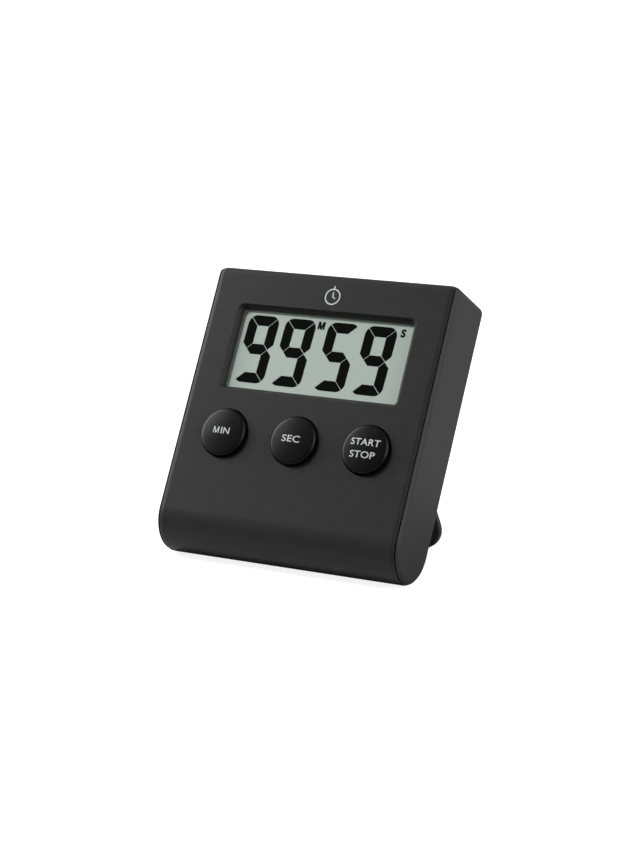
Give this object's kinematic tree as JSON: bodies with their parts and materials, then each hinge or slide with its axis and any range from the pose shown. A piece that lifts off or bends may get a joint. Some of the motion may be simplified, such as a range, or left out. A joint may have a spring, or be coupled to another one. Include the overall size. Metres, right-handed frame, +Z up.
{
  "type": "kitchen timer",
  "caption": "Electronic countdown timer in a leaning slab case with a round nose, a liquid-crystal display, round push buttons, a fold-out back stand and flush magnets.",
  "frame": {"origin": "on the ground plane, under the middle of the object's box, with the stand open", "axes": "+X to the right seen from the front, +Y from the front to the back, +Z up; the case leans back 28.7 degrees from upright"},
  "size_m": [0.07, 0.0488, 0.0716],
  "materials": {
    "shell_plastic": "dark grey, fine spark-eroded grain",
    "button_plastic": "black satin",
    "display_glass": "grey-green reflective display",
    "polarizer_film": "smooth film",
    "silicone_rubber": "matte",
    "carbon_rubber": "matte",
    "holder_plastic": "white moulded",
    "board_laminate": "solder mask",
    "black_epoxy": "moulded",
    "plated_steel": "nickel plated",
    "cell_jacket": "shrink sleeve over steel",
    "coil_ferrite": "copper winding on ferrite",
    "buzzer_brass": "thin sheet",
    "buzzer_ceramic": "fired ceramic with silvered face",
    "magnet_nickel": "nickel plated",
    "red_lead": "flexible sleeve",
    "black_lead": "flexible sleeve"
  },
  "bodies": {
    "case": {"front_cover": "shell_plastic", "rear_shell": "shell_plastic", "rubber_keypad": "silicone_rubber", "lcd_front_polarizer": "polarizer_film", "lcd_glass": "display_glass", "lcd_reflector": "polarizer_film", "lcd_holder": "holder_plastic", "zebra_strip": "carbon_rubber", "main_board": "board_laminate", "timer_chip": "black_epoxy", "quartz_crystal": "plated_steel", "board_capacitor": "cell_jacket", "board_resistor_1": "black_epoxy", "board_resistor_2": "black_epoxy", "driver_transistor": "black_epoxy", "boost_coil": "coil_ferrite", "buzzer_plate": "buzzer_brass", "buzzer_ceramic": "buzzer_ceramic", "battery_cell": "cell_jacket", "battery_spring": "plated_steel", "battery_contact_negative": "plated_steel", "battery_contact_positive": "plated_steel", "magnet_left": "magnet_nickel", "magnet_right": "magnet_nickel", "case_screw_1": "plated_steel", "case_screw_2": "plated_steel", "case_screw_3": "plated_steel", "case_screw_4": "plated_steel", "board_screw_1": "plated_steel", "board_screw_2": "plated_steel", "board_screw_3": "plated_steel", "board_screw_4": "plated_steel", "battery_lead_positive": "red_lead", "battery_lead_negative": "black_lead", "buzzer_lead_plate": "black_lead", "buzzer_lead_ceramic": "red_lead"},
    "stand": {"stand": "shell_plastic"},
    "battery_cover": {"battery_cover": "shell_plastic"},
    "button_min": {"button_min": "button_plastic", "contact_pill_min": "carbon_rubber"},
    "button_sec": {"button_sec": "button_plastic", "contact_pill_sec": "carbon_rubber"},
    "button_start_stop": {"button_start_stop": "button_plastic", "contact_pill_start_stop": "carbon_rubber"}
  },
  "joints": [
    {"name": "stand_fold", "type": "hinge", "parent": "case", "child": "stand", "pos_m": [0, 0.00161, 0.02207], "axis": [1, 0, 0], "range_deg": [-59.6, 0]},
    {"name": "battery_cover_open", "type": "hinge", "parent": "case", "child": "battery_cover", "pos_m": [0, 0.01403, 0.04445], "axis": [-1, 0, 0], "range_deg": [0, 75]},
    {"name": "button_min_press", "type": "slide", "parent": "case", "child": "button_min", "axis": [0, 0.8771, -0.4802], "range_m": [0, 0.001], "stiffness_N_per_m": 300, "deforming": ["rubber_keypad"]},
    {"name": "button_sec_press", "type": "slide", "parent": "case", "child": "button_sec", "axis": [0, 0.8771, -0.4802], "range_m": [0, 0.001], "stiffness_N_per_m": 300, "deforming": ["rubber_keypad"]},
    {"name": "button_start_stop_press", "type": "slide", "parent": "case", "child": "button_start_stop", "axis": [0, 0.8771, -0.4802], "range_m": [0, 0.001], "stiffness_N_per_m": 300, "deforming": ["rubber_keypad"]}
  ]
}
